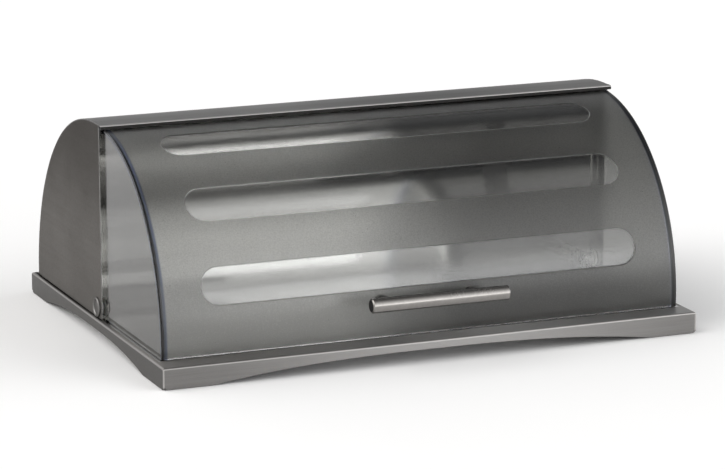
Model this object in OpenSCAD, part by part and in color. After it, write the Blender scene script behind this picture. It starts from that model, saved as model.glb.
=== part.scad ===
// Household roll-top bread bin: a steel back shell and side panels on a pressed
// steel tray, with a tinted see-through lid that rolls up and back under the roof.
// Units are millimetres. +X is the viewer's right, -Y the front, +Z up. The origin
// is on the table, under the middle of the whole bin with its handle.

/* [Body] */
// Width over the two side panels
body_w = 384; // [300:1:460]
// Outside radius of the curved back
shell_r = 135; // [115:1:160]
// Height of the curve's centre above the tray
shell_rise = 2; // [1:0.5:8]
// Depth of the flat roof ahead of the curve
roof_d = 16; // [10:1:24]
// Sheet thickness of the back shell
shell_t = 0.7; // [0.5:0.1:1.2]
// Outside radius of the fold at the roof's front edge
roof_fold_r = 1.2; // [1.2:0.1:2]
// Sheet thickness of the side panels
panel_t = 0.7; // [0.5:0.1:1.2]
// How far the panels' front edges stand behind the roof's front edge
panel_setback = 5; // [2:0.5:8]
// Gap between the panels' lower edges and the tray
panel_gap = 0.4; // [0.3:0.1:0.8]
// Width of the panels' flange that is welded under the shell
flange_w = 8; // [5:0.5:12]

/* [Base tray] */
// Height of the tray's top above the table
base_h = 15; // [13:0.5:22]
// Sheet thickness of the tray
tray_t = 0.8; // [0.5:0.1:1.2]
// Outside radius of the tray's folded top edges
tray_fold_r = 1.4; // [1.3:0.1:2]
// Tray showing on each side of the body
side_ledge = 3; // [3:0.5:12]
// Tray showing in front of the lid
front_ledge = 19; // [14:1:34]
// Tray showing behind the back shell
rear_ledge = 8; // [4:1:20]
// Height of the arch under the front and back skirts
front_arch = 8.9; // [4:0.1:9.5]
// Length of level skirt beside each corner, along the front and back
front_flat = 35; // [28:1:60]
// Height of the arch under the side skirts
side_arch = 7.8; // [4:0.1:9]
// Length of level side skirt at the front corners
side_flat_front = 42; // [28:1:60]
// Length of level side skirt at the back corners
side_flat_back = 33; // [28:1:60]
// Fullness of the arches, where 2 is a parabola
arch_power = 2.6; // [2:0.1:4]
// Radius of the skirts' lower corners
skirt_corner_r = 2; // [1:0.5:4]
// Width of the open seam beside each corner
seam_w = 0.4; // [0.3:0.1:0.8]

/* [Feet] */
// Diameter of a foot where it is glued to the tray
foot_top_d = 18; // [14:1:22]
// Diameter of a foot on the table
foot_bottom_d = 13; // [10:1:18]
// Distance from the tray's edges to the middle of a foot
foot_inset = 14; // [12.5:0.5:18]
// How far the feet hold the skirt off the table
foot_proud = 0.4; // [0.2:0.1:1]

/* [Lid] */
// Wall thickness of the lid
lid_t = 3; // [2:0.1:4]
// Gap between the lid's side walls and the panels
side_gap = 2; // [1.5:0.1:3]
// Gap between the lid and the flanges under the roof
roof_clear = 1.1; // [0.6:0.1:2]
// Gap between the lid and the lip at the roof's front edge
lip_clear = 0.45; // [0.35:0.05:0.8]
// Gap under the closed lid
lid_gap = 0.4; // [0.3:0.1:0.8]
// Rounding of the lid's outer edges
lid_edge_r = 1; // [0.5:0.1:1.4]

/* [Windows] */
// Number of clear windows in the frosted front
window_count = 3; // [1:1:3]
// Length of a window, with its round ends
window_w = 320; // [200:1:340]
// Height of a window
window_h = 27.4; // [15:0.1:30]
// Angle of the lowest window above level
window_first = 17.5; // [17:0.1:19]
// Angle from one window to the next
window_pitch = 26.05; // [20:0.05:26.5]
// Depth of the windows' sunk face
window_depth = 0.4; // [0.2:0.1:0.6]

/* [Pivots] */
// How far the pivots stand ahead of the curve's centre
pivot_ahead = 2; // [0:0.5:4]
// Height of the pivots above the tray
pivot_rise = 7.5; // [7.5:0.5:10]
// Diameter of a pivot bolt
bolt_d = 5; // [4:0.5:6]
// Diameter of a pivot bolt's low round head
bolt_head_d = 14; // [10:0.5:14]
// Height of the round head
bolt_head_h = 2.2; // [1.6:0.1:2.8]
// Height of the head's straight rim
bolt_rim_h = 0.7; // [0.4:0.1:1]
// Radial clearance of the lid on its pivot bolts
running_clear = 0.05; // [0.02:0.01:0.1]
// Diameter of the spacer between panel and lid
spacer_d = 12; // [9:0.5:13]
// Diameter of the washer inside the lid
washer_d = 12; // [9:0.5:13]
// Thickness of the washer inside the lid
washer_t = 1; // [0.6:0.1:1.6]
// Play of the lid between spacer and washer, on each side
end_play = 0.2; // [0.1:0.05:0.3]
// Width across flats of the cap nut
cap_nut_af = 8; // [7.5:0.5:10]
// Height of the cap nut's six-sided part
cap_nut_h = 4; // [3:0.5:5]
// How much narrower the cap nut's dome is than its flats
cap_nut_step = 1; // [0.5:0.1:1.5]

/* [Handle] */
// Length of the handle bar
bar_l = 100; // [80:1:200]
// Diameter of the handle bar
bar_d = 10; // [8:0.5:14]
// Wall of the handle bar's tube
bar_t = 1.2; // [0.8:0.1:1.6]
// Width of the chamfer at the bar's ends
bar_chamfer = 0.8; // [0.3:0.1:0.8]
// Length of an end plug
plug_l = 6; // [4:0.5:10]
// Distance from the lid's face to the middle of the bar
bar_standoff = 25; // [18:0.5:35]
// Angle of the handle above level
bar_angle = 8.2; // [6.5:0.1:8.5]
// Distance from the bar's ends to the posts
post_inset = 18; // [12:1:30]
// Diameter of a post
post_d = 7; // [6:0.5:8]
// Depth of the screw's hole in a post
post_hole_l = 12; // [8:0.5:14]
// Diameter of a handle screw
handle_screw_d = 4; // [3:0.5:4]
// Diameter of a handle screw's washer
handle_washer_d = 9; // [8:0.5:12]
// Thickness of a handle screw's washer
handle_washer_t = 1; // [0.6:0.1:1.6]

/* [Fixings] */
// Width of the fixing angles' level leg
angle_w = 10; // [10:0.5:14]
// Height of the fixing angles' upright leg
angle_h = 5; // [4:0.5:6]
// Thickness of the fixing angles
angle_t = 1; // [0.8:0.1:1.5]
// Length of the fixing angles at the sides
side_angle_l = 91; // [60:1:95]
// Distance from the pivots back to the side angles
angle_setback = 25; // [23:1:30]
// Gap between the back feet and the back screws
rear_screw_gap = 16; // [10:1:40]
// Distance from an angle's end to its screw
screw_inset = 9; // [7:0.5:20]
// Distance from a fixing angle's corner to its screws
screw_offset = 6; // [5.5:0.1:6.5]
// Diameter of a fixing screw
screw_d = 4; // [3:0.5:4]
// Diameter of a screw's low round head
screw_head_d = 7; // [6:0.5:7]
// Height of a screw's low round head
screw_head_h = 2.2; // [1.6:0.1:2.6]
// Height of the head's straight rim
screw_rim_h = 0.7; // [0.4:0.1:1]
// Clearance round a screw in its hole
screw_clear = 0.15; // [0.1:0.05:0.3]
// Width across flats of a fixing nut
nut_af = 7; // [7:0.5:8]
// Height of a fixing nut
nut_h = 3.2; // [2.4:0.1:4]
// Screw showing past its nut
screw_past = 0.6; // [0.2:0.1:1]

/* [Hidden] */
$fn = 96;
steel = [0.62, 0.61, 0.59];
bright_steel = [0.78, 0.78, 0.76];
smoke = [0.45, 0.48, 0.52, 0.45];
black = [0.12, 0.12, 0.12];
nylon = [0.9, 0.9, 0.86];

// Overshoot of cuts, so that they pass through the face they open on
cut = 1;

// Heights: the curve's centre, the roof and the pivots
shell_z = base_h + shell_rise;
roof_z = shell_z + shell_r;
shell_in_r = shell_r - shell_t;
flange_in_r = shell_in_r - panel_t;
pivot_z = base_h + pivot_rise;

// The lid rolls about the pivots just under the flanges, whatever the shell's size
lid_r = shell_z + flange_in_r - roof_clear - pivot_z;
lid_in_r = lid_r - lid_t;
lid_z = base_h + lid_gap;
ear_r = pivot_z - lid_z;
lid_reach = sqrt(pow(lid_r, 2) - pow(ear_r, 2));

// Places from front to back, measured from the tray's front face
pivot_y = front_ledge + lid_reach;
shell_y = pivot_y + pivot_ahead;
roof_front_y = shell_y - roof_d;
panel_front_y = roof_front_y + panel_setback;
base_d = shell_y + shell_r + rear_ledge;
lid_rear_y = pivot_y + ear_r;

// Places from side to side
panel_x = body_w / 2;
panel_in_x = panel_x - panel_t;
lid_x = panel_in_x - side_gap;
lid_in_x = lid_x - lid_t;
base_w = body_w + 2 * side_ledge;

// The lip hangs from the roof's front edge down to just above the lid
lid_top_at_lip = pivot_z + sqrt(pow(lid_r, 2) - pow(pivot_y - roof_front_y, 2));
lip_z = lid_top_at_lip + lip_clear;

// The handle stands on the lid's face, square to it
bar_r = lid_r + bar_standoff;
bar_front_y = pivot_y - bar_r * cos(bar_angle) - bar_d / 2;
bar_in_d = bar_d - 2 * bar_t;
post_spacing = bar_l - 2 * post_inset;
washer_seat_r = sqrt(pow(lid_in_r, 2) - pow(handle_washer_d / 2, 2));

// The origin is under the middle of everything from the handle to the tray's back
origin_y = (base_d + bar_front_y) / 2;

// The side angles' and the back angle's corners, where their two legs meet
side_angle_y = pivot_y + angle_setback;
rear_angle_y = shell_y + sqrt(pow(shell_in_r, 2) - pow(max(0, angle_h - shell_rise), 2));
rear_screw_x = base_w / 2 - foot_inset - foot_top_d / 2 - rear_screw_gap;
rear_angle_l = 2 * (rear_screw_x + screw_inset);
fixings = concat(
    [for (side = [-1, 1], y = [side_angle_y + screw_inset, side_angle_y + side_angle_l - screw_inset])
        [side * (panel_in_x - screw_offset), y]],
    [for (side = [-1, 1]) [side * rear_screw_x, rear_angle_y - screw_offset]]);

// ---- Helpers ----

// Moves the bin from its drawing place, tray front at Y 0, to its origin
module place() translate([0, -origin_y, 0]) children();

// Extrudes an outline drawn in Y and Z from one X to another
module across(x0, x1) translate([x0, 0, 0]) rotate([90, 0, 90]) linear_extrude(x1 - x0) children();

// Extrudes an outline drawn in X and Z from one Y to another
module along(y0, y1) translate([0, y1, 0]) rotate([90, 0, 0]) linear_extrude(y1 - y0) children();

// Turns an outline, drawn as height against distance from the axis, into a body on the pivot axis
module about_pivots() translate([0, pivot_y, pivot_z]) rotate([0, 90, 0]) rotate_extrude() children();

// Mirrors what is drawn at the right for the left side
module on_side(side) mirror([side < 0 ? 1 : 0, 0, 0]) children();

// Points out square from the lid's face: the child's Z runs out from the pivot axis
module out_from_lid(angle, x) translate([x, pivot_y, pivot_z]) rotate([90 - angle, 0, 0]) children();

// A tube or washer from z0 to z1
module ring(outer_d, inner_d, z0, z1) translate([0, 0, z0]) difference() {
    cylinder(d = outer_d, h = z1 - z0);
    translate([0, 0, -cut]) cylinder(d = inner_d, h = z1 - z0 + 2 * cut);
}

// Low round head that rises along Z from a straight rim
module round_head(d, h, rim) {
    dome_r = (pow(d / 2, 2) + pow(h - rim, 2)) / (2 * (h - rim));
    rotate_extrude() intersection() {
        square([d / 2, h]);
        translate([0, h - dome_r]) circle(dome_r);
    }
}

// Outline of a folded block: upright sides and round upper corners
module folded_outline(x0, x1, z1, r) {
    translate([x0, -cut]) square([x1 - x0, z1 - r + cut]);
    translate([x0 + r, -cut]) square([x1 - x0 - 2 * r, z1 + cut]);
    for (x = [x0 + r, x1 - r]) translate([x, z1 - r]) circle(r);
}

// Hexagon across flats
module hexagon(af) circle(d = af / cos(30), $fn = 6);

// ---- Base tray and feet ----

// The tray's outer or inner form; inset is the distance in from the outer faces
module tray_form(inset) intersection() {
    across(-base_w / 2, base_w / 2)
        folded_outline(inset, base_d - inset, base_h - inset, tray_fold_r - inset);
    along(0, base_d)
        folded_outline(inset - base_w / 2, base_w / 2 - inset, base_h - inset, tray_fold_r - inset);
}

// What is cut from below a skirt of length l: the arch and the round lower corners
module skirt_cut(l, flat0, flat1, rise) {
    steps = 32;
    half = (l - flat0 - flat1) / 2;
    translate([0, -2 * cut]) square([l, 2 * cut + foot_proud]);
    translate([flat0 + half, foot_proud])
        polygon(concat([[half, -cut], [-half, -cut]],
            [for (i = [0 : steps]) let (u = 2 * i / steps - 1) [u * half, rise * (1 - pow(abs(u), arch_power))]]));
    for (end = [0, 1]) translate([end * l, foot_proud]) mirror([end, 0]) difference() {
        translate([-cut, -cut]) square(skirt_corner_r + cut);
        translate([skirt_corner_r, skirt_corner_r]) circle(skirt_corner_r);
    }
}

module base_tray() color(steel) place() difference() {
    tray_form(0);
    tray_form(tray_t);
    translate([-base_w, -cut, -2 * cut]) cube([2 * base_w, base_d + 2 * cut, 2 * cut]);
    for (y = [-cut, base_d - tray_t - cut]) along(y, y + tray_t + 2 * cut)
        translate([-base_w / 2, 0]) skirt_cut(base_w, front_flat, front_flat, front_arch);
    for (side = [-1, 1]) on_side(side) across(base_w / 2 - tray_t - cut, base_w / 2 + cut)
        skirt_cut(base_d, side_flat_front, side_flat_back, side_arch);
    for (side = [-1, 1], y = [tray_t, base_d - tray_t - seam_w])
        translate([side * (base_w - tray_t) / 2 - tray_t, y, -cut])
            cube([2 * tray_t, seam_w, base_h - tray_fold_r + cut]);
    for (at = fixings) translate([at[0], at[1], 0]) cylinder(d = screw_d + 2 * screw_clear, h = base_h + cut);
}

// Moulded foot, glued up under the tray
module foot(side, y) color(black) place() translate([side * (base_w / 2 - foot_inset), y, 0])
    cylinder(d1 = foot_bottom_d, d2 = foot_top_d, h = base_h - tray_t);

module foot_front_left() foot(-1, foot_inset);
module foot_front_right() foot(1, foot_inset);
module foot_rear_left() foot(-1, base_d - foot_inset);
module foot_rear_right() foot(1, base_d - foot_inset);

// ---- Back shell and side panels ----

// Quarter ring of the curved back, from radius r0 out to r1
module back_arc(r0, r1) translate([shell_y, shell_z]) intersection() {
    difference() {
        circle(r1, $fn = 180);
        circle(r0, $fn = 180);
    }
    square(r1 + cut);
}

module back_shell() color(steel) place() across(-panel_x, panel_x) {
    back_arc(shell_in_r, shell_r);
    translate([shell_y + shell_in_r, base_h]) square([shell_t, shell_rise]);
    translate([roof_front_y + roof_fold_r, roof_z - shell_t]) square([roof_d - roof_fold_r, shell_t]);
    translate([roof_front_y, lip_z]) square([shell_t, roof_z - roof_fold_r - lip_z]);
    translate([roof_front_y + roof_fold_r, roof_z - roof_fold_r]) intersection() {
        difference() {
            circle(roof_fold_r);
            circle(roof_fold_r - shell_t);
        }
        mirror([1, 0]) square(roof_fold_r);
    }
}

// The panel's outline, or with a smaller r the space inside its flange
module panel_outline(r, front_y, low_z) {
    intersection() {
        translate([shell_y, shell_z]) circle(r, $fn = 180);
        translate([shell_y, low_z]) square([shell_r, shell_r + shell_rise]);
    }
    translate([shell_y, low_z]) square([r, shell_z - low_z]);
    translate([front_y, low_z]) square([shell_y - front_y, shell_z + r - low_z]);
}

module side_panel(side) color(steel) place() on_side(side) difference() {
    across(panel_in_x - flange_w, panel_x) panel_outline(shell_in_r, panel_front_y, base_h + panel_gap);
    across(panel_in_x - flange_w - cut, panel_in_x)
        panel_outline(flange_in_r, panel_front_y - cut, base_h + panel_gap - cut);
    translate([panel_in_x - cut, pivot_y, pivot_z]) rotate([0, 90, 0])
        cylinder(d = bolt_d + 2 * running_clear, h = panel_t + 2 * cut);
}

module side_panel_left() side_panel(-1);
module side_panel_right() side_panel(1);

// ---- Angles, screws and nuts that hold the shell and panels to the tray ----

// Angle outline with its corner at the origin and its legs toward -X and +Z
module angle_outline() {
    translate([-angle_w, 0]) square([angle_w, angle_t]);
    translate([-angle_t, 0]) square([angle_t, angle_h]);
}

module screw_holes() for (at = fixings) translate([at[0], at[1], base_h - cut])
    cylinder(d = screw_d + 2 * screw_clear, h = angle_t + 2 * cut);

module side_angle(side) color(bright_steel) place() difference() {
    on_side(side) along(side_angle_y, side_angle_y + side_angle_l)
        translate([panel_in_x, base_h]) angle_outline();
    screw_holes();
}

module fixing_angle_left() side_angle(-1);
module fixing_angle_right() side_angle(1);

module fixing_angle_rear() color(bright_steel) place() difference() {
    across(-rear_angle_l / 2, rear_angle_l / 2) translate([rear_angle_y, base_h]) angle_outline();
    screw_holes();
}

module fixing_screws() color(bright_steel) place() for (at = fixings) translate([at[0], at[1], base_h]) {
    translate([0, 0, angle_t]) round_head(screw_head_d, screw_head_h, screw_rim_h);
    shank_l = angle_t + tray_t + nut_h + screw_past;
    translate([0, 0, angle_t - shank_l]) cylinder(d = screw_d, h = shank_l);
}

module fixing_nuts() color(bright_steel) place() for (at = fixings)
    translate([at[0], at[1], base_h - tray_t - nut_h]) linear_extrude(nut_h) difference() {
        hexagon(nut_af);
        circle(d = screw_d + 2 * running_clear);
    }

// ---- Pivots: bolt, spacer, washer and cap nut on each side ----

// Puts a piece on the pivot axis: the child's Z starts at the panel's outer face and runs inward
module at_pivot(side) place() on_side(side) translate([panel_x, pivot_y, pivot_z]) rotate([0, -90, 0]) children();

spacer_z0 = panel_t;
spacer_z1 = panel_t + side_gap - end_play;
washer_z0 = panel_t + side_gap + lid_t + end_play;
cap_nut_z0 = washer_z0 + washer_t;

module pivot_bolt(side) color(bright_steel) at_pivot(side) {
    mirror([0, 0, 1]) round_head(bolt_head_d, bolt_head_h, bolt_rim_h);
    cylinder(d = bolt_d, h = cap_nut_z0 + cap_nut_h);
}

module pivot_spacer(side) color(nylon) at_pivot(side)
    ring(spacer_d, bolt_d + 2 * running_clear, spacer_z0, spacer_z1);

module pivot_washer(side) color(nylon) at_pivot(side)
    ring(washer_d, bolt_d + 2 * running_clear, washer_z0, cap_nut_z0);

module pivot_nut(side) color(bright_steel) at_pivot(side) translate([0, 0, cap_nut_z0]) difference() {
    union() {
        linear_extrude(cap_nut_h) hexagon(cap_nut_af);
        translate([0, 0, cap_nut_h]) intersection() {
            sphere(d = cap_nut_af - cap_nut_step);
            translate([-cap_nut_af, -cap_nut_af, -cut]) cube(2 * cap_nut_af);
        }
    }
    translate([0, 0, -cut]) cylinder(d = bolt_d + 2 * running_clear, h = cap_nut_h + 2 * cut);
}

module pivot_bolt_left() pivot_bolt(-1);
module pivot_bolt_right() pivot_bolt(1);
module pivot_spacer_left() pivot_spacer(-1);
module pivot_spacer_right() pivot_spacer(1);
module pivot_washer_left() pivot_washer(-1);
module pivot_washer_right() pivot_washer(1);
module pivot_nut_left() pivot_nut(-1);
module pivot_nut_right() pivot_nut(1);

// ---- Lid ----

// Half of a drum's section: distance from the pivot axis against X, with rounded rims
module drum_section(r, x, edge_r) {
    translate([0, -x + edge_r]) square([r, 2 * (x - edge_r)]);
    translate([0, -x]) square([r - edge_r, 2 * x]);
    for (end = [-1, 1]) translate([r - edge_r, end * (x - edge_r)]) circle(edge_r);
}

// The side view of the lid, within its drum: level below, upright behind, round at the pivot
module lid_side_view() {
    size = 2 * lid_r;
    translate([lid_rear_y - size, pivot_z]) square(size);
    translate([pivot_y - size, lid_z]) square(size);
    translate([pivot_y, pivot_z]) circle(ear_r);
}

// One window's sunk face: a long round-ended block that stands out from the lid's face
module window_block(angle) out_from_lid(angle, 0)
    linear_extrude(lid_r + cut) {
        straight = window_w - window_h;
        square([straight, window_h], center = true);
        for (end = [-1, 1]) translate([end * straight / 2, 0]) circle(d = window_h);
    }

module lid() color(smoke) place() difference() {
    intersection() {
        difference() {
            about_pivots() drum_section(lid_r, lid_x, lid_edge_r);
            about_pivots() drum_section(lid_in_r, lid_in_x, lid_edge_r);
        }
        across(-lid_x - cut, lid_x + cut) lid_side_view();
    }
    difference() {
        for (i = [0 : window_count - 1]) window_block(window_first + i * window_pitch);
        about_pivots() translate([0, -body_w]) square([lid_r - window_depth, 2 * body_w]);
    }
    translate([-body_w / 2, pivot_y, pivot_z]) rotate([0, 90, 0])
        cylinder(d = bolt_d + 2 * running_clear, h = body_w);
    for (end = [-1, 1]) out_from_lid(bar_angle, end * post_spacing / 2)
        cylinder(d = handle_screw_d + 2 * screw_clear, h = bar_r);
}

// ---- Handle ----

// The bar's axis: the child's Z runs along +X from the bar's middle
module on_bar() place() out_from_lid(bar_angle, 0) translate([0, 0, bar_r]) rotate([0, 90, 0]) children();

module handle_bar() color(bright_steel) on_bar() rotate_extrude() difference() {
    translate([bar_in_d / 2, -bar_l / 2]) square([bar_t, bar_l]);
    for (end = [-1, 1]) translate([bar_d / 2, end * bar_l / 2]) rotate(45)
        square(bar_chamfer * sqrt(2), center = true);
}

// Black plug that closes the bar's tube, flush with its end
module handle_plug(side) color(black) on_bar()
    translate([0, 0, side < 0 ? -bar_l / 2 : bar_l / 2 - plug_l]) cylinder(d = bar_in_d, h = plug_l);

// Post from the lid's face to the bar, with a blind hole for its screw
module handle_post(side) color(bright_steel) difference() {
    place() out_from_lid(bar_angle, side * post_spacing / 2) translate([0, 0, lid_r])
        cylinder(d = post_d, h = bar_standoff);
    place() out_from_lid(bar_angle, side * post_spacing / 2) translate([0, 0, lid_r - cut])
        cylinder(d = handle_screw_d + 2 * running_clear, h = post_hole_l + cut);
    on_bar() cylinder(d = bar_d, h = bar_l + 2 * cut, center = true);
}

module handle_screws() color(bright_steel) place() for (end = [-1, 1])
    out_from_lid(bar_angle, end * post_spacing / 2) translate([0, 0, washer_seat_r - handle_washer_t]) {
        mirror([0, 0, 1]) round_head(screw_head_d, screw_head_h, screw_rim_h);
        cylinder(d = handle_screw_d, h = lid_r + post_hole_l - cut - washer_seat_r + handle_washer_t);
    }

module handle_washers() color(nylon) place() for (end = [-1, 1])
    out_from_lid(bar_angle, end * post_spacing / 2)
        ring(handle_washer_d, handle_screw_d + 2 * screw_clear, washer_seat_r - handle_washer_t, washer_seat_r);

module handle_plug_left() handle_plug(-1);
module handle_plug_right() handle_plug(1);
module handle_post_left() handle_post(-1);
module handle_post_right() handle_post(1);

base_tray();
foot_front_left();
foot_front_right();
foot_rear_left();
foot_rear_right();
back_shell();
side_panel_left();
side_panel_right();
fixing_angle_left();
fixing_angle_right();
fixing_angle_rear();
fixing_screws();
fixing_nuts();
pivot_bolt_left();
pivot_bolt_right();
pivot_spacer_left();
pivot_spacer_right();
pivot_washer_left();
pivot_washer_right();
pivot_nut_left();
pivot_nut_right();
lid();
handle_bar();
handle_plug_left();
handle_plug_right();
handle_post_left();
handle_post_right();
handle_screws();
handle_washers();
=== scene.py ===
# %% [markdown]
# # A roll-top bread bin
# A household bread bin stands on the worktop: a curved back shell and two side panels of
# satin stainless steel, a pressed steel tray under them, and a smoky see-through lid that
# rolls up and back under the roof. The solids come from the bin's own CAD model. This
# lesson gives them their finishes, light and a camera.
# Everything is in metres. +X is the viewer's right, -Y the front and +Z up.

# %% Load the solids
from math import asin, cos, hypot, pi, radians, sin

import bpy
from mathutils import Matrix, Vector
from mathutils.geometry import delaunay_2d_cdt


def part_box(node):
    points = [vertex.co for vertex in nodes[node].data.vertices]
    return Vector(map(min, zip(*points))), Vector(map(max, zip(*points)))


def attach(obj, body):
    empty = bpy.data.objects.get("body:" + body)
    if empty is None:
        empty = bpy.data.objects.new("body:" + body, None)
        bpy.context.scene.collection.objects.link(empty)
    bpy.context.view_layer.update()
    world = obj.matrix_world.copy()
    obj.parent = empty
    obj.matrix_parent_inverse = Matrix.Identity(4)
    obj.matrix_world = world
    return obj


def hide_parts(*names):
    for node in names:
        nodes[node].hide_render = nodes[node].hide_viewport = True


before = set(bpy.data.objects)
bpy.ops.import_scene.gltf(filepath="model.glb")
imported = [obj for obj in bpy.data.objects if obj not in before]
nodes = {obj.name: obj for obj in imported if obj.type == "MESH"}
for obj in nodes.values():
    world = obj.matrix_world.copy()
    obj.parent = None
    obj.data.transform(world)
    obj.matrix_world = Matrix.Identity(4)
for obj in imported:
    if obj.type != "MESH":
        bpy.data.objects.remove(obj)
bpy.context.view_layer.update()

# %% [markdown]
# ## Smooth and sharp edges
# A bent sheet is a smooth curve with a few crisp edges where it was cut. The solids come in
# as flat facets. Shading them all smooth would smear the cut edges, so faces that meet at
# more than a set angle stay sharp and the rest blend into one curve.

# %% Shade the solids
CRISP_ANGLE = radians(28)


def shade(piece):
    """Smooth curves, crisp edges."""
    piece.data.shade_smooth()
    piece.data.set_sharp_from_angle(angle=CRISP_ANGLE)


for solid in nodes.values():
    shade(solid)
print("shaded", len(nodes), "solids, crisp above 28 degrees")

# %% [markdown]
# ## Measures that the finishes share
# A finish often changes at a place on the bin: outside to inside of the sheet, or the lid's
# raised front to its sunk windows. Such places are worked out once, from the solids' own
# boxes or from a few given sizes, so nothing is typed twice.

# %% Find the pivot axis, and set the lid's radius and the shell's centre
lid_low, lid_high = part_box("lid")
bolt_low, bolt_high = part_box("pivot_bolt_right")
shell_low, shell_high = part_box("back_shell")
tray_low, tray_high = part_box("base_tray")
PIVOT_Y = (bolt_low.y + bolt_high.y) / 2
PIVOT_Z = (bolt_low.z + bolt_high.z) / 2
LID_R = 0.127
LID_X = lid_high.x
LID_WALL = 0.003
SHELL_Y, SHELL_Z, SHELL_R = PIVOT_Y + 0.002, tray_high.z + 0.002, 0.135
SHEET = 0.0007
BODY_X = shell_high.x
ROOF_FRONT_Y = shell_low.y
print("pivot at", round(PIVOT_Y, 4), round(PIVOT_Z, 4), "lid half width", round(LID_X, 4))

# %% [markdown]
# ## Writing a finish as sums
# A shader tree is arithmetic on values that travel along wires. A small class stands for one
# wire, so that `1 - mask` or `grain * 0.1` adds the right Math node by itself. Every other
# node is made by one method, which takes the node's kind, its settings and its inputs.

# %% A wire with arithmetic, and a finish that makes nodes
class Wire:
    """One value in a finish; arithmetic on it adds Math nodes."""

    def __init__(self, finish, socket):
        self.finish, self.socket = finish, socket

    def math(self, operation, *values, **settings):
        return self.finish.node("Math", dict(settings, operation=operation), dict(enumerate(values)))

    def __add__(self, other):
        return self.math("ADD", self, other)

    def __sub__(self, other):
        return self.math("SUBTRACT", self, other)

    def __rsub__(self, other):
        return self.math("SUBTRACT", other, self)

    def __mul__(self, other):
        return self.math("MULTIPLY", self, other)

    __radd__, __rmul__ = __add__, __mul__

    def root(self):
        return self.math("SQRT", self)

    def exponential(self):
        return self.math("EXPONENT", self)

    def size(self):
        return self.math("ABSOLUTE", self)

    def most(self, other):
        return self.math("MAXIMUM", self, other)

    def above(self, edge, blur):
        """0 below the edge, 1 above it, with a soft step as wide as blur."""
        return self.finish.node("MapRange", {"interpolation_type": "SMOOTHSTEP"},
                                {0: self, 1: edge - blur / 2, 2: edge + blur / 2})

    def below(self, edge, blur):
        return 1 - self.above(edge, blur)


class Wiring:
    """A tree of nodes that is written as Python."""

    def node(self, kind, settings=None, inputs=None, out=0):
        """Adds a node: its settings first, then its inputs' values or wires."""
        made = self.tree.nodes.new("ShaderNode" + kind)
        for key, value in (settings or {}).items():
            setattr(made, key, value)
        for key, value in (inputs or {}).items():
            if isinstance(value, Wire):
                self.tree.links.new(value.socket, made.inputs[key])
            else:
                made.inputs[key].default_value = value
        return Wire(self, made.outputs[out])


class Finish(Wiring):
    """A material whose nodes are written as Python."""

    def __init__(self, name, **constants):
        self.material = bpy.data.materials.new(name)
        self.material.use_nodes = True
        self.tree = self.material.node_tree
        self.shader = self.tree.nodes["Principled BSDF"]
        for socket, value in constants.items():
            self.shader.inputs[socket.replace("_", " ")].default_value = value
        self.coordinates = self.node("TexCoord", out="Object")
        self.x, self.y, self.z = (self.node("SeparateXYZ", {}, {0: self.coordinates}, out=axis)
                                  for axis in range(3))

    def noise(self, scale, detail=2.0, rough=0.5, stretch=(1, 1, 1)):
        """Seeded cloud noise around 0.5; scale is in cycles per metre along each axis."""
        spread = self.node("VectorMath", {"operation": "MULTIPLY"},
                           {0: self.coordinates, 1: tuple(scale * s for s in stretch)})
        return self.node("TexNoise", {"noise_dimensions": "3D"},
                         {"Vector": spread, "Scale": 1.0, "Detail": detail, "Roughness": rough})

    def mix(self, share, first, second):
        """A colour on the way from first to second."""
        return self.node("Mix", {"data_type": "RGBA"}, {0: share, 6: first, 7: second}, out=2)

    def set(self, **wires):
        for socket, wire in wires.items():
            self.tree.links.new(wire.socket, self.shader.inputs[socket.replace("_", " ")])

    def bump(self, height, distance, strength=1.0):
        """Fine relief; distance is how high, in metres, a height of 1 stands."""
        self.set(Normal=self.node("Bump", {}, {"Height": height, "Distance": distance,
                                               "Strength": strength}))

    def on(self, *names):
        """Gives the finish to solids, by name."""
        for name in names:
            slots = nodes[name].data.materials
            slots.clear()
            slots.append(self.material)
        print(self.material.name, "on", ", ".join(names))


def grey(level, warmth=0.0):
    """A colour near grey: warmth above 0 leans to yellow, below 0 to blue."""
    return (level * (1 + warmth), level, level * (1 - warmth), 1.0)


# %% [markdown]
# ## Brushed steel
# Stainless sheet is drawn past an abrasive belt, which leaves hair-thin scratches that all
# run one way. They could be scratches in the geometry, but they are far too fine. Noise that
# is stretched fifty times along the grain gives the same streaks to the colour, the roughness
# and the bump together. The outside is satin and a little dulled by handling. The inside kept
# the bright mill finish, with no relief at all.

# %% Steel
OUTSIDE, OUTSIDE_WORN = grey(0.115, 0.02), grey(0.16, 0.015)
INSIDE = grey(0.80, 0.005)
ALONG_GRAIN = 0.02
INNER_ROUGH = 0.09
SCRATCH_DEPTH = 0.00002


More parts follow.
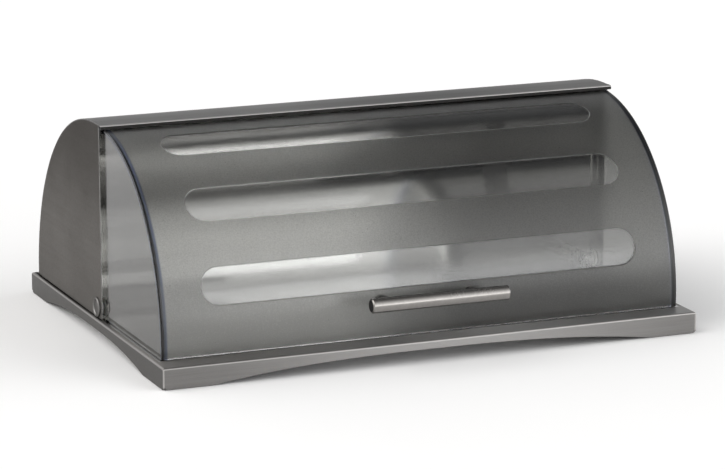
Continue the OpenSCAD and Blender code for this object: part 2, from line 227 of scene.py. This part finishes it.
def steel(name, grain_axis, inside=None, marks=None, dull=OUTSIDE, bright=OUTSIDE_WORN, rough=0.45,
          glancing=1.0, sandy=0.15, **constants):
    """Satin steel with grain along an axis. inside masks its bright face; marks lists (mask,
    colour, roughness) for painted highlights and painted shade; glancing is how white it turns at a
    grazing look; sandy is the share of fine mottling."""
    finish = Finish(name, Metallic=1.0, Specular_Tint=grey(glancing), **constants)
    stretch = [1.0, 1.0, 1.0]
    stretch[grain_axis] = ALONG_GRAIN
    hairs = finish.noise(2600, 3, 0.6, stretch)
    streaks = finish.noise(420, 2, 0.55, stretch)
    clouds = finish.noise(16, 4, 0.6)
    sand = finish.noise(1300, 2, 0.7)
    tone = (hairs * 0.45 + streaks * 0.35) * (1 - sandy) + clouds * 0.2 * (1 - sandy) + sand * sandy
    colour = finish.mix(tone.above(0.5, 0.45), dull, bright)
    roughness = rough + (hairs - 0.5) * 0.12 + (clouds - 0.5) * 0.16
    # Each mark paints a highlight or shade into the colour and the roughness.
    for mask, mark, mark_rough in (marks(finish) if marks else []):
        colour = finish.mix(mask, colour, mark)
        roughness = roughness * (1 - mask) + mask * mark_rough
    if inside:
        mask = inside(finish)
        colour = finish.mix(mask, colour, INSIDE)
        roughness = roughness * (1 - mask) + (INNER_ROUGH + (streaks - 0.5) * 0.03) * mask
    finish.set(Base_Color=colour, Roughness=roughness)
    relief = hairs * 0.7 + streaks * 0.3
    finish.bump(relief * (1 - mask) if inside else relief, SCRATCH_DEPTH, 0.5)
    return finish


print("satin outside, bright inside with roughness", INNER_ROUGH)

# %% [markdown]
# ## Where the sheet changes
# The bright face is found by place: nearer the curve's axis than the middle of the sheet.
# Edges are found the same way. The fold along the roof's front gets a painted highlight, the
# lip that hangs below it painted shade, and the cut front edges of the panels a painted
# highlight. The tray's top is painted a little brighter than its skirt, as painted light on a face that
# looks up.
# In the photograph the middle of the front skirt and the strip of tray before the lid catch
# more light, and the panels' tops and the roof right of its middle catch less. A dozen glows
# round the bin cannot give each of these, so they are put into the colour. Each is a wide mask
# with a low weight, and the grain runs on through it.

# %% Masks for the bright face and the edges
PANEL_FRONT_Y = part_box("side_panel_left")[0].y
ROOF_SHADE_X, SKIRT_HIGHLIGHT_X, SHADE_ABOVE_Z = 0.045, 0.01, 0.1


def under_shell(finish):
    """1 on the faces that look into the bin: nearer the curve's axis than the sheet's middle."""
    back = (finish.y - SHELL_Y).most(0.0)
    up = finish.z - SHELL_Z
    reach = (back * back + up * up).root()
    soft = SHEET / 4
    return (reach.below(SHELL_R - SHEET / 2, soft) * finish.x.size().below(BODY_X - SHEET / 2, soft)
            * finish.y.above(ROOF_FRONT_Y + SHEET * 1.5, soft))


def compartment_floor(finish):
    """1 on the tray's top where the shell and lid cover it."""
    soft = 0.0004
    return (finish.x.size().below(BODY_X - SHEET, soft) * finish.y.above(lid_low.y, soft)
            * finish.y.below(SHELL_Y + SHELL_R - SHEET, soft) * finish.z.above(tray_high.z - 0.001, soft))


def roof_marks(finish):
    """Painted shade right of the roof's middle and on the lip, and a painted highlight on the fold above it.
    """
    # The patch and the lip are painted shade, and the fold is a painted highlight.
    roof_shade = (finish.x - ROOF_SHADE_X).size().below(0.06, 0.12) * finish.z.above(shell_high.z - 0.012, 0.02)
    fold_z = shell_high.z - SHEET
    lip_shade = finish.y.below(ROOF_FRONT_Y + SHEET / 2, SHEET / 4) * finish.z.below(fold_z, SHEET / 3)
    fold_highlight = finish.y.below(ROOF_FRONT_Y + SHEET * 1.8, SHEET / 2) * finish.z.above(fold_z, SHEET / 3)
    return [(roof_shade * 0.55, grey(0.02, 0.02), 0.45), (lip_shade, grey(0.03, 0.02), 0.5),
            (fold_highlight, grey(0.6, 0.02), 0.3)]


def panel_marks(finish):
    """Painted shade that grows toward the panels' tops, and a painted highlight on their front edges."""
    # Painted shade toward the top, and a painted highlight on the front edges.
    return [(finish.z.above(SHADE_ABOVE_Z, 0.09) * 0.42, grey(0.03, 0.05), 0.45),
            (finish.y.below(PANEL_FRONT_Y + SHEET / 2, SHEET / 4), grey(0.45, 0.02), 0.3)]


def tray_marks(finish):
    """A painted highlight on the front skirt's middle, painted light on the tray's level top with a
    brighter painted strip before the lid, painted highlights on the fold and corners, and painted
    shade at the panels' feet."""
    across = finish.x.size()
    side = across.above(tray_high.x - SHEET * 1.5, SHEET / 2)
    front = finish.y.below(tray_low.y + SHEET * 1.5, SHEET / 2)
    top = finish.z.above(tray_high.z - SHEET / 2, SHEET / 4)
    fold_highlight = finish.z.above(tray_high.z - SHEET * 1.5, SHEET / 2) * side.most(front)
    foot_shadow = (across.below(BODY_X + SHEET * 1.5, SHEET) * across.above(BODY_X - SHEET, SHEET / 4)
            * finish.y.above(PANEL_FRONT_Y, SHEET) * top)
    # The skirt's middle is a painted highlight. The level top and its strip before the lid are painted
    # light, the fold and corners painted highlights, and the band at the panels' feet painted shade.
    middle = finish.y.below(tray_low.y + SHEET, SHEET) * (finish.x - SKIRT_HIGHLIGHT_X).size().below(0.1, 0.2)
    strip = top * finish.y.below(lid_low.y + 0.002, 0.002) * finish.x.above(-0.1, 0.08)
    return [(middle * 0.67, grey(0.34, 0.02), 0.36), (top, grey(0.27, 0.03), 0.38),
            (strip, grey(0.42, 0.02), 0.38), (fold_highlight.most(side * front), grey(0.32, 0.03), 0.32),
            (foot_shadow, grey(0.03, 0.02), 0.6)]


steel("satin_steel_shell", 0, under_shell, roof_marks).on("back_shell")
steel("satin_steel_panel", 1, under_shell, panel_marks, grey(0.195, 0.045), grey(0.28, 0.035), glancing=0.2,
      sandy=0.6).on("side_panel_left", "side_panel_right")
steel("satin_steel_tray", 0, compartment_floor, tray_marks, grey(0.135, 0.035), grey(0.18, 0.025), 0.36,
      glancing=0.62, Anisotropic=0.85, Anisotropic_Rotation=0.25).on("base_tray")

# %% [markdown]
# ## Bright metal
# The handle's bar is drawn tube and its posts and the pivot caps are turned, so their fine
# marks run round them. The bar is satin and the posts are left dull. The small plated
# fittings inside are the brightest metal.

# %% Handle and fittings
steel("drawn_steel_bar", 1, dull=grey(0.22, 0.05), bright=grey(0.29, 0.04), rough=0.24).on("handle_bar")
steel("dull_steel_post", 1, dull=grey(0.08, 0.03), bright=grey(0.12, 0.02), rough=0.4).on(
    "handle_post_left", "handle_post_right")
steel("turned_steel_cap", 2, dull=grey(0.16, 0.03), bright=grey(0.22, 0.02), rough=0.3, glancing=0.5).on(
    "pivot_bolt_left", "pivot_bolt_right")
steel("plated_fittings", 2, dull=grey(0.42, 0.02), bright=grey(0.56, 0.01), rough=0.26).on(
    "pivot_nut_left", "pivot_nut_right", "handle_screws", "fixing_screws", "fixing_nuts",
    "fixing_angle_left", "fixing_angle_right", "fixing_angle_rear")

# %% [markdown]
# ## Smoked acrylic
# The lid is one moulding of smoke-tinted acrylic. Its front was blasted to a fine frost, and
# three long windows were left clear, a hair below the frosted face. So the frost is simply
# what lies at the full radius, and no picture is needed to mask it. Where the front and the
# side walls meet, the eye looks along the sheet through much more tint, and the rim turns
# a deep blue-grey. One tint could serve the whole lid, but the side walls look darker in the
# photograph than the windows do, and their rear margin, which runs in behind the panels,
# paler. So each place has its own.

# %% Acrylic
WINDOW_TINT = (0.77, 0.775, 0.765, 1.0)
# The side walls' dark tint is painted shade on the same clear acrylic as the windows; their rear margin is
# shaded less.
SHADED_SIDE_TINT, SIDE_REAR_TINT = (0.2, 0.2, 0.194, 1.0), (0.52, 0.52, 0.5, 1.0)
FROST_TINT, FROST_DARK = (0.45, 0.45, 0.433, 1.0), (0.29, 0.29, 0.279, 1.0)
RIM_TINT, RIM_BAND_TINT = (0.13, 0.16, 0.26, 1.0), (0.06, 0.085, 0.17, 1.0)
EDGE_TINT = (0.68, 0.68, 0.69, 1.0)
RIM_W, RIM_BAND_W, EDGE_H, REAR_MARGIN = 0.002, 0.0042, 0.0008, 0.005
FROST_DEPTH = 0.0002
CLEAR_ROUGH, FROST_ROUGH = 0.03, 0.27
acrylic = Finish("smoked_acrylic_lid", Transmission_Weight=1.0, IOR=1.49)
ahead, up = acrylic.y - PIVOT_Y, acrylic.z - PIVOT_Z
reach = (ahead * ahead + up * up).root()
across = acrylic.x.size()
frosted = reach.above(LID_R - FROST_DEPTH, 0.00008) * across.below(LID_X - 0.0006, 0.0004)
walls = across.above(LID_X - LID_WALL - 0.0005, 0.0005)
rim_zone = reach.above(LID_R - LID_WALL, 0.0006)
rim = rim_zone * across.above(LID_X - RIM_W, 0.0008)
rim_band = rim_zone * across.above(LID_X - RIM_BAND_W, 0.0014)
cut = acrylic.z.below(lid_low.z + EDGE_H, 0.0005) * acrylic.y.below(PIVOT_Y - LID_R / 2, 0.001)
low = acrylic.z.below(lid_low.z + 0.035, 0.04)
dust = acrylic.noise(1100, 3, 0.7)
haze = acrylic.noise(11, 3, 0.5)
frost = acrylic.mix((dust * 0.75 + haze * 0.25 - low * 0.1).above(0.5, 0.3), FROST_DARK, FROST_TINT)
tone = acrylic.mix(frosted, WINDOW_TINT, frost)
tone = acrylic.mix(cut, tone, EDGE_TINT)
side = acrylic.mix(acrylic.y.above(PANEL_FRONT_Y - REAR_MARGIN, 0.004), SHADED_SIDE_TINT, SIDE_REAR_TINT)
tone = acrylic.mix(rim_band, acrylic.mix(walls, tone, side), RIM_BAND_TINT)
tone = acrylic.mix(rim, tone, RIM_TINT)
roughness = CLEAR_ROUGH + frosted * (1 - cut) * (FROST_ROUGH + (dust - 0.5) * 0.12)
acrylic.set(Base_Color=tone, Roughness=roughness + (haze - 0.5).most(0.0) * 0.03)
acrylic.bump(dust * frosted, 0.00005, 0.6)
print("frost starts at radius", LID_R - FROST_DEPTH)

# %% [markdown]
# ## The lid, moulded anew
# The CAD lid has the right size, but its windows are cut square. A moulded window runs down
# to its sunk face over a tiny slope, and that slope draws the light and dark lines round
# each window. The skin could be one dense grid, but most of it is plain. Here the front is
# unrolled flat, the windows' outlines are laid down as rings, and a Delaunay triangulation
# fills the rest. Then it is rolled up again. Each corner keeps the exact normal of its
# surface, so a few long triangles still bend the light like one smooth curve.

# %% A skin that merges shared points and keeps exact normals
class Skin:
    """Collects faces with a normal for each corner."""

    def __init__(self):
        self.points, self.known, self.faces, self.normals = [], {}, [], []

    def point(self, place):
        key = tuple(round(v * 1e6) for v in place)
        if key not in self.known:
            self.known[key] = len(self.points)
            self.points.append(tuple(place))
        return self.known[key]

    def face(self, places, normals):
        """Adds a face, turned so that its front looks along its normals."""
        ids = [self.point(place) for place in places]
        if len(set(ids)) < 3:
            return
        a, b, c = (Vector(place) for place in places[:3])
        if (b - a).cross(c - a).dot(normals[0] + normals[1] + normals[2]) < 0:
            ids, normals = ids[::-1], normals[::-1]
        self.faces.append(ids)
        self.normals += [tuple(normal.normalized()) for normal in normals]

    def strip(self, first, second, normals, second_normals=None):
        """Quads between two rows of points."""
        second_normals = second_normals or normals
        for k in range(len(first) - 1):
            self.face([first[k], first[k + 1], second[k + 1], second[k]],
                      [normals[k], normals[k + 1], second_normals[k + 1], second_normals[k]])

    def build(self, name):
        mesh = bpy.data.meshes.new(name)
        mesh.from_pydata(self.points, [], self.faces)
        mesh.shade_smooth()
        mesh.normals_split_custom_set(self.normals)
        piece = bpy.data.objects.new(name, mesh)
        bpy.context.scene.collection.objects.link(piece)
        print(name, len(self.points), "points", len(self.faces), "faces")
        return piece


skin = Skin()

# %% Rolling up and unrolling
EAR = PIVOT_Z - lid_low.z
EDGE_R = 0.001
ARC_STEPS = 64
RIGHT, BACK, DOWN = Vector((1, 0, 0)), Vector((0, 1, 0)), Vector((0, 0, -1))


def outward(angle):
    """The way out from the pivot axis, at an angle above level seen from the front."""
    return Vector((0, -cos(angle), sin(angle)))


def rolled(x, angle, radius):
    return Vector((x, PIVOT_Y, PIVOT_Z)) + outward(angle) * radius


def arc(radius):
    """Angles from the lid's level foot over to its upright rear edge."""
    low, high = -asin(EAR / radius), pi / 2 + asin(EAR / radius)
    return [low + (high - low) * k / ARC_STEPS for k in range(ARC_STEPS + 1)]


# %% The windows' relief
WINDOWS, FIRST_ANGLE, NEXT_ANGLE = 3, 17.5, 26.05
WINDOW_ANGLES = [radians(FIRST_ANGLE + NEXT_ANGLE * k) for k in range(WINDOWS)]
WINDOW_W, WINDOW_H, SUNK, SLOPE = 0.320, 0.0274, 0.0004, 0.0013
HALF_H, HALF_STRAIGHT = WINDOW_H / 2, (WINDOW_W - WINDOW_H) / 2


def from_spine(x, v):
    """The way from a window's middle line to a place, on the unrolled front."""
    return x - max(-HALF_STRAIGHT, min(HALF_STRAIGHT, x)), v


def front_surface(x, angle):
    """A point of the outer face and its normal, with the windows' slopes."""
    depth, lean = 0.0, Vector((0, 0, 0))
    for middle in WINDOW_ANGLES:
        u, v = from_spine(x, LID_R * (angle - middle))
        off = max(hypot(u, v), 1e-9)
        share = min(max((HALF_H - off) / SLOPE, 0), 1)
        depth += SUNK * share * share * (3 - 2 * share)
        steep = SUNK / SLOPE * 6 * share * (1 - share)
        lean -= steep / off * (u * RIGHT + v * Vector((0, sin(angle), cos(angle))))
    return rolled(x, angle, LID_R - depth), outward(angle) + lean


def inner_surface(x, angle):
    return rolled(x, angle, INNER_R), -outward(angle)


# %% Lay out a face, triangulate it and roll it up
SCREW_ANGLE, SCREW_X, SCREW_R, SCREW_STEPS = radians(8.2), 0.032, 0.00215, 12
INNER_R, INNER_X = LID_R - LID_WALL, LID_X - LID_WALL
COLUMNS, STRAIGHT_STEPS = 44, 36
WITHIN, SAME_POINT, GRID_CLEAR = 0.99, 1e-7, 0.002


def triangulate(outline, rings, extra, holes):
    """Triangles over an outline with rings laid into it, left out where a hole is."""
    flat, edges = [], []
    for loop in [outline] + rings:
        edges += [(len(flat) + k, len(flat) + (k + 1) % len(loop)) for k in range(len(loop))]
        flat += loop
    flat += extra
    placed, _, found, sources, _, _ = delaunay_2d_cdt([Vector(p) for p in flat], edges, [], 1, SAME_POINT)
    placed = [flat[source[0]] if source else tuple(p) for p, source in zip(placed, sources)]
    kept = []
    for triangle in ([placed[k] for k in ids] for ids in found):
        middle_x, middle_y = (sum(p[axis] for p in triangle) / 3 for axis in (0, 1))
        if all(hypot(middle_x - x, middle_y - y) > r * WITHIN for x, y, r in holes):
            kept.append(triangle)
    return kept


def round_ended(radius, x, v, half_straight=0.0, steps=24):
    """A ring round a straight middle line, on the unrolled front."""
    turn = [pi * k / steps for k in range(steps + 1)]
    half = [(half_straight + radius * sin(a), -radius * cos(a)) for a in turn]
    if half_straight:
        half += [(half_straight * (1 - 2 * k / STRAIGHT_STEPS), radius) for k in range(1, STRAIGHT_STEPS)]
    else:
        half.pop()
    return [(x + sign * px, v + sign * py) for sign in (1, -1) for px, py in half]


def columns(half_x):
    return [half_x * (2 * k / COLUMNS - 1) for k in range(COLUMNS + 1)]


def roll_up(radius, half_x, surface, rings):
    """Adds one face of the front, outer or inner, with its screw holes."""
    xs, angles = columns(half_x), arc(radius)
    outline = ([(x, angles[0] * radius) for x in xs] + [(xs[-1], a * radius) for a in angles[1:]]
               + [(x, angles[-1] * radius) for x in xs[-2::-1]]
               + [(xs[0], a * radius) for a in angles[-2:0:-1]])
    middles = [(side * SCREW_X, radius * SCREW_ANGLE) for side in (-1, 1)]
    screws = [round_ended(SCREW_R, x, v, steps=SCREW_STEPS) for x, v in middles]
    grid = []
    for x in xs[1:-1]:
        for angle in angles[1:-1]:
            v = angle * radius
            beside = min(abs(hypot(*from_spine(x, v - radius * m)) - HALF_H) for m in WINDOW_ANGLES)
            clear = beside > GRID_CLEAR or not rings
            if clear and all(hypot(x - mx, v - mv) > 2 * SCREW_R for mx, mv in middles):
                grid.append((x, v))
    for triangle in triangulate(outline, rings + screws, grid, [(x, v, SCREW_R) for x, v in middles]):
        made = [surface(x, v / radius) for x, v in triangle]
        skin.face([place for place, _ in made], [normal for _, normal in made])
    return screws


slopes = [round_ended(HALF_H - SLOPE * share, 0, LID_R * m, HALF_STRAIGHT)
          for m in WINDOW_ANGLES for share in (0, 0.2, 0.4, 0.6, 0.8, 1)]
outer_screws = roll_up(LID_R, LID_X - EDGE_R, front_surface, slopes)
inner_screws = roll_up(INNER_R, INNER_X - EDGE_R, inner_surface, [])
round_the_lid = Vector((0, sin(SCREW_ANGLE), cos(SCREW_ANGLE)))
for outer, inner in zip(outer_screws, inner_screws):
    middle = (outer[0][0] + outer[SCREW_STEPS][0]) / 2
    normals = [Vector((middle - x, 0, 0)) - (v - LID_R * SCREW_ANGLE) * round_the_lid
               for x, v in outer + outer[:1]]
    skin.strip([rolled(x, v / LID_R, LID_R) for x, v in outer + outer[:1]],
               [rolled(x, v / INNER_R, INNER_R) for x, v in inner + inner[:1]], normals)
print("front:", len(skin.faces), "triangles")

# %% [markdown]
# ## Rims, side walls and edges
# The rims are quarter rounds between the front and the side walls. The side walls are flat,
# with a hole for the pivot bolt. The inner face is the same again, one wall thickness in,
# and plain strips close the edges between the two.

# %% Close the lid round its rims, walls and edges
RIM_STEPS, BORE_R, BORE_STEPS, EAR_STEPS = 6, 0.00255, 32, 16


def rim_row(side, radius, half_x, turn):
    """One row of a rounded rim: its points and the normals out of it."""
    r, x = radius - EDGE_R * (1 - cos(turn)), half_x - EDGE_R * (1 - sin(turn))
    return ([rolled(side * x, angle, r) for angle in arc(r)],
            [outward(angle) * cos(turn) + RIGHT * side * sin(turn) for angle in arc(r)])


def edge_path(radius):
    """The wall's cut edge: level foot, round ear and upright back, with a normal for each step."""
    ends = [rolled(0, arc(radius)[0], radius), rolled(0, arc(radius)[-1], radius)]
    ear = [-pi / 2 - pi / 2 * k / EAR_STEPS for k in range(EAR_STEPS + 1)]
    return [ends[0]] + [rolled(0, a, EAR) for a in ear] + [ends[1]], [outward(a) for a in ear]


bore = [(PIVOT_Y + BORE_R * cos(2 * pi * k / BORE_STEPS), PIVOT_Z + BORE_R * sin(2 * pi * k / BORE_STEPS))
        for k in range(BORE_STEPS)]
for side in (-1, 1):
    foot_rows, back_rows, edges, bores = [], [], [], []
    for radius, half_x, way in ((LID_R, LID_X, 1), (INNER_R, INNER_X, -1)):
        rows = [rim_row(side, radius, half_x, pi / 2 * k / RIM_STEPS) for k in range(RIM_STEPS + 1)]
        for (first, out1), (second, out2) in zip(rows, rows[1:]):
            skin.strip(first, second, [way * n for n in out1], [way * n for n in out2])
        foot_rows.append([row[0][0] for row in rows])
        back_rows.append([row[0][-1] for row in rows])
        flat_r = radius - EDGE_R
        path, ear_normals = edge_path(flat_r)
        outline = path + [rolled(0, a, flat_r) for a in arc(flat_r)[-2:0:-1]]
        for triangle in triangulate([(p.y, p.z) for p in outline], [bore], [], [(PIVOT_Y, PIVOT_Z, BORE_R)]):
            skin.face([Vector((side * half_x, y, z)) for y, z in triangle], [RIGHT * side * way] * 3)
        edges.append([RIGHT * side * half_x + p for p in path])
        bores.append([Vector((side * half_x, y, z)) for y, z in bore + bore[:1]])
    skin.strip(*foot_rows, [DOWN] * (RIM_STEPS + 1))
    skin.strip(*back_rows, [BACK] * (RIM_STEPS + 1))
    skin.strip(edges[0][:2], edges[1][:2], [DOWN] * 2)
    skin.strip(edges[0][1:-1], edges[1][1:-1], ear_normals)
    skin.strip(edges[0][-2:], edges[1][-2:], [BACK] * 2)
    skin.strip(*bores, [Vector((0, PIVOT_Y - y, PIVOT_Z - z)) for y, z in bore + bore[:1]])
for end, normal in ((0, DOWN), (-1, BACK)):
    skin.strip(*([rolled(x, arc(r)[end], r) for x in columns(half_x - EDGE_R)]
                 for r, half_x in ((LID_R, LID_X), (INNER_R, INNER_X))), [normal] * (COLUMNS + 1))
lid_moulding = skin.build("lid_moulding")
lid_moulding.data.materials.append(acrylic.material)
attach(lid_moulding, "lid")
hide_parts("lid")
edge_uses = {}
for polygon in lid_moulding.data.polygons:
    for key in polygon.edge_keys:
        edge_uses[key] = edge_uses.get(key, 0) + 1
print("open edges:", sum(uses != 2 for uses in edge_uses.values()))

# %% [markdown]
# ## Turned pivot caps
# Each pivot bolt ends in a low turned cap on the outside of its panel: a rounded bead round a
# shallow dish. A bead this small could be a bump, but it catches the light as a bright
# crescent, so it is really there. One profile is turned about the pivot axis.

# %% Turn the caps and their shanks
TURN_STEPS = 48
SHANK_R = 0.0025
CAP_PROFILE = [(0.0, 0.00115), (0.0022, 0.0011), (0.0038, 0.00095), (0.0046, 0.00075), (0.0049, 0.00078),
               (0.0051, 0.0010), (0.0054, 0.00135), (0.0058, 0.0016), (0.0062, 0.00163),
               (0.0066, 0.00145), (0.0069, 0.0011), (0.0070, 0.0007), (0.0070, 0.0), (SHANK_R, 0.0)]


def turned(name, profile, side, face_x):
    """Turns (radius, height) points about the pivot axis; heights run outward from face_x."""
    points, faces = [], []
    for r, h in profile:
        turn = [2 * pi * k / TURN_STEPS for k in range(TURN_STEPS if r else 1)]
        points.append([(side * (face_x + h), PIVOT_Y + r * cos(a), PIVOT_Z + r * sin(a)) for a in turn])
    starts = [sum(len(row) for row in points[:k]) for k in range(len(points))]
    for k in range(len(points) - 1):
        a, b, near, far = starts[k], starts[k + 1], len(points[k]), len(points[k + 1])
        for t in range(TURN_STEPS):
            corners = [a + t % near, a + (t + 1) % near, b + (t + 1) % far, b + t % far]
            corners = [c for i, c in enumerate(corners) if c not in corners[:i]]
            faces.append(corners if side < 0 else corners[::-1])
    mesh = bpy.data.meshes.new(name)
    mesh.from_pydata([p for row in points for p in row], [], faces)
    piece = bpy.data.objects.new(name, mesh)
    bpy.context.scene.collection.objects.link(piece)
    shade(piece)
    return piece


for side, end in ((-1, "left"), (1, "right")):
    low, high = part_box("pivot_bolt_" + end)
    shank_end = (high.x if side < 0 else -low.x) + BODY_X
    shank = [(SHANK_R, -shank_end), (0.0, -shank_end)]
    cap = turned("pivot_cap_" + end, CAP_PROFILE + shank, side, BODY_X)
    cap.data.materials.append(bpy.data.materials["turned_steel_cap"])
    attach(cap, "bin")
    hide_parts("pivot_bolt_" + end)
    print(cap.name, len(cap.data.polygons), "faces, shank", round(shank_end, 4))

# %% [markdown]
# ## Rubber, plastic and nylon
# The feet are rubber, the handle's end plugs black plastic, and the pivots run between nylon
# spacers. Each gets a matt grain rather than a flat colour.

# %% Moulded parts
SPARK_DEPTH = 0.00004


def moulding(name, dark, light, rough, grain_scale, **constants):
    """A moulded part with a fine spark-eroded grain."""
    finish = Finish(name, **constants)
    grain, patches = finish.noise(grain_scale, 3, 0.6), finish.noise(60, 3, 0.5)
    finish.set(Base_Color=finish.mix(grain * 0.5 + patches * 0.5, dark, light),
               Roughness=rough + (grain - 0.5) * 0.2)
    finish.bump(grain, SPARK_DEPTH, 0.5)
    return finish


moulding("black_rubber", grey(0.012), grey(0.03), 0.75, 1400).on(
    "foot_front_left", "foot_front_right", "foot_rear_left", "foot_rear_right")
moulding("black_plug_plastic", grey(0.008), grey(0.02), 0.42, 2200).on(
    "handle_plug_left", "handle_plug_right")
moulding("white_nylon", grey(0.62, 0.02), grey(0.74, 0.02), 0.45, 1700, Subsurface_Weight=0.1).on(
    "pivot_spacer_left", "pivot_spacer_right", "pivot_washer_left", "pivot_washer_right",
    "handle_washers")

# %% [markdown]
# ## Floor
# The bin stands on a plain pale table top. It could be a flat square, but a wide disc runs out
# of any picture taken from above in every direction. A faint cloud keeps it from being one
# dead colour.

# %% A round floor
TURNS = 96
RINGS = (0.3, 0.6, 1.2, 2.4, 6.0)
turns = [2 * pi * t / TURNS for t in range(TURNS)]
points = [(r * cos(turn), r * sin(turn), 0.0) for r in RINGS for turn in turns]
faces = [(t, (t + 1) % TURNS, len(points)) for t in range(TURNS)]
for start in range(0, TURNS * (len(RINGS) - 1), TURNS):
    for t in range(TURNS):
        after = (t + 1) % TURNS
        faces.append((start + t, start + TURNS + t, start + TURNS + after, start + after))
points.append((0.0, 0.0, 0.0))
floor_mesh = bpy.data.meshes.new("floor")
floor_mesh.from_pydata(points, [], faces)
floor_mesh.shade_smooth()
floor = bpy.data.objects.new("floor", floor_mesh)
bpy.context.scene.collection.objects.link(floor)
paper = Finish("floor_paper", Roughness=0.9)
fibre = paper.noise(7, 3, 0.5)
paper.set(Base_Color=paper.mix(fibre, grey(0.97), grey(0.985)), Roughness=0.85 + fibre * 0.1)
floor_mesh.materials.append(paper.material)
print("floor:", len(points), "points")

# %% [markdown]
# ## Light
# A studio wraps the bin in soft light. Lamps could be hung one by one, but broad glows in
# the sky round the set give the same softness with no lamp edges in the glossy lid. Each
# glow is a bell round one direction. The brightest stands at the front right. High ones at the
# left and back left light the curved roof, and faint ones fill the rest. A narrow one at the
# front right draws the thin highlights. Together they light a level surface so that its colour
# renders about as it is written. The white behind the bin is the pale table top itself.

# %% A dome of soft glows
BROAD, NARROW = 8.0, 150.0
# heading in degrees from the front, turning to the right; height in degrees; radiance; how
# tight; warmth
GLOWS = [(45, 10, 3.4, BROAD, 0.0), (90, 10, 1.3, BROAD, -0.02), (135, 10, 0.4, BROAD, -0.01),
         (180, 10, 0.85, BROAD, 0.0), (225, 10, 0.65, BROAD, 0.01), (270, 10, 1.05, BROAD, 0.015),
         (315, 10, 0.15, BROAD, 0.0), (0, 10, 0.6, BROAD, 0.0), (45, 45, 0.5, BROAD, 0.0),
         (225, 45, 1.2, BROAD, 0.01), (270, 45, 2.1, BROAD, 0.012), (23, 11, 2.0, NARROW, -0.01)]


class Dome(Wiring):
    """A sky whose light is a sum of soft glows."""

    def __init__(self, name, glows):
        world = bpy.data.worlds.new(name)
        world.use_nodes = True
        self.tree = world.node_tree
        direction = self.node("TexCoord", out="Generated")
        light = (0.0, 0.0, 0.0)
        for heading, height, radiance, tightness, warmth in glows:
            turn, lift = radians(heading), radians(height)
            toward = (sin(turn) * cos(lift), -cos(turn) * cos(lift), sin(lift))
            nearness = self.node("VectorMath", {"operation": "DOT_PRODUCT"}, {0: direction, 1: toward},
                                 out="Value")
            bell = ((nearness - 1) * tightness).exponential()
            glow = self.node("VectorMath", {"operation": "SCALE"},
                             {0: grey(radiance, warmth)[:3], "Scale": bell})
            light = self.node("VectorMath", {"operation": "ADD"}, {0: light, 1: glow})
        self.tree.links.new(light.socket, self.tree.nodes["Background"].inputs["Color"])
        bpy.context.scene.world = world


Dome("studio_dome", GLOWS)
print(len(GLOWS), "glows in the dome")

# %% [markdown]
# ## Camera
# A long lens from the front left, a little above the roof, as in the photograph. Its place
# and angles were solved from the bin's straight edges.

# %% Camera
PLACE = (-0.92271, -2.27595, 0.62597)
TURN, TILT, ROLL = radians(22.133), radians(13.031), radians(-0.142)
SENSOR_MM, LENS_MM = 36.0, 177.58
look = Vector((sin(TURN) * cos(TILT), cos(TURN) * cos(TILT), -sin(TILT)))
level = look.cross(Vector((0, 0, 1))).normalized()
upright = level.cross(look)
right = cos(ROLL) * level + sin(ROLL) * upright
top = cos(ROLL) * upright - sin(ROLL) * level
lens = bpy.data.cameras.new("camera")
lens.sensor_width, lens.lens = SENSOR_MM, LENS_MM
lens.clip_start, lens.clip_end = 0.05, 30.0
camera = bpy.data.objects.new("camera", lens)
camera.matrix_world = Matrix.Translation(PLACE) @ Matrix((
    (right.x, top.x, -look.x, 0), (right.y, top.y, -look.y, 0), (right.z, top.z, -look.z, 0), (0, 0, 0, 1)))
bpy.context.scene.collection.objects.link(camera)
bpy.context.scene.camera = camera
bpy.context.scene.view_settings.view_transform = "Standard"
print("camera at", [round(v, 3) for v in camera.location])

# %% [markdown]
# ## Finishing
# The view layer is brought up to date. The finished bin has to stay inside the CAD
# model's box.

# %% Finish
bpy.context.view_layer.update()
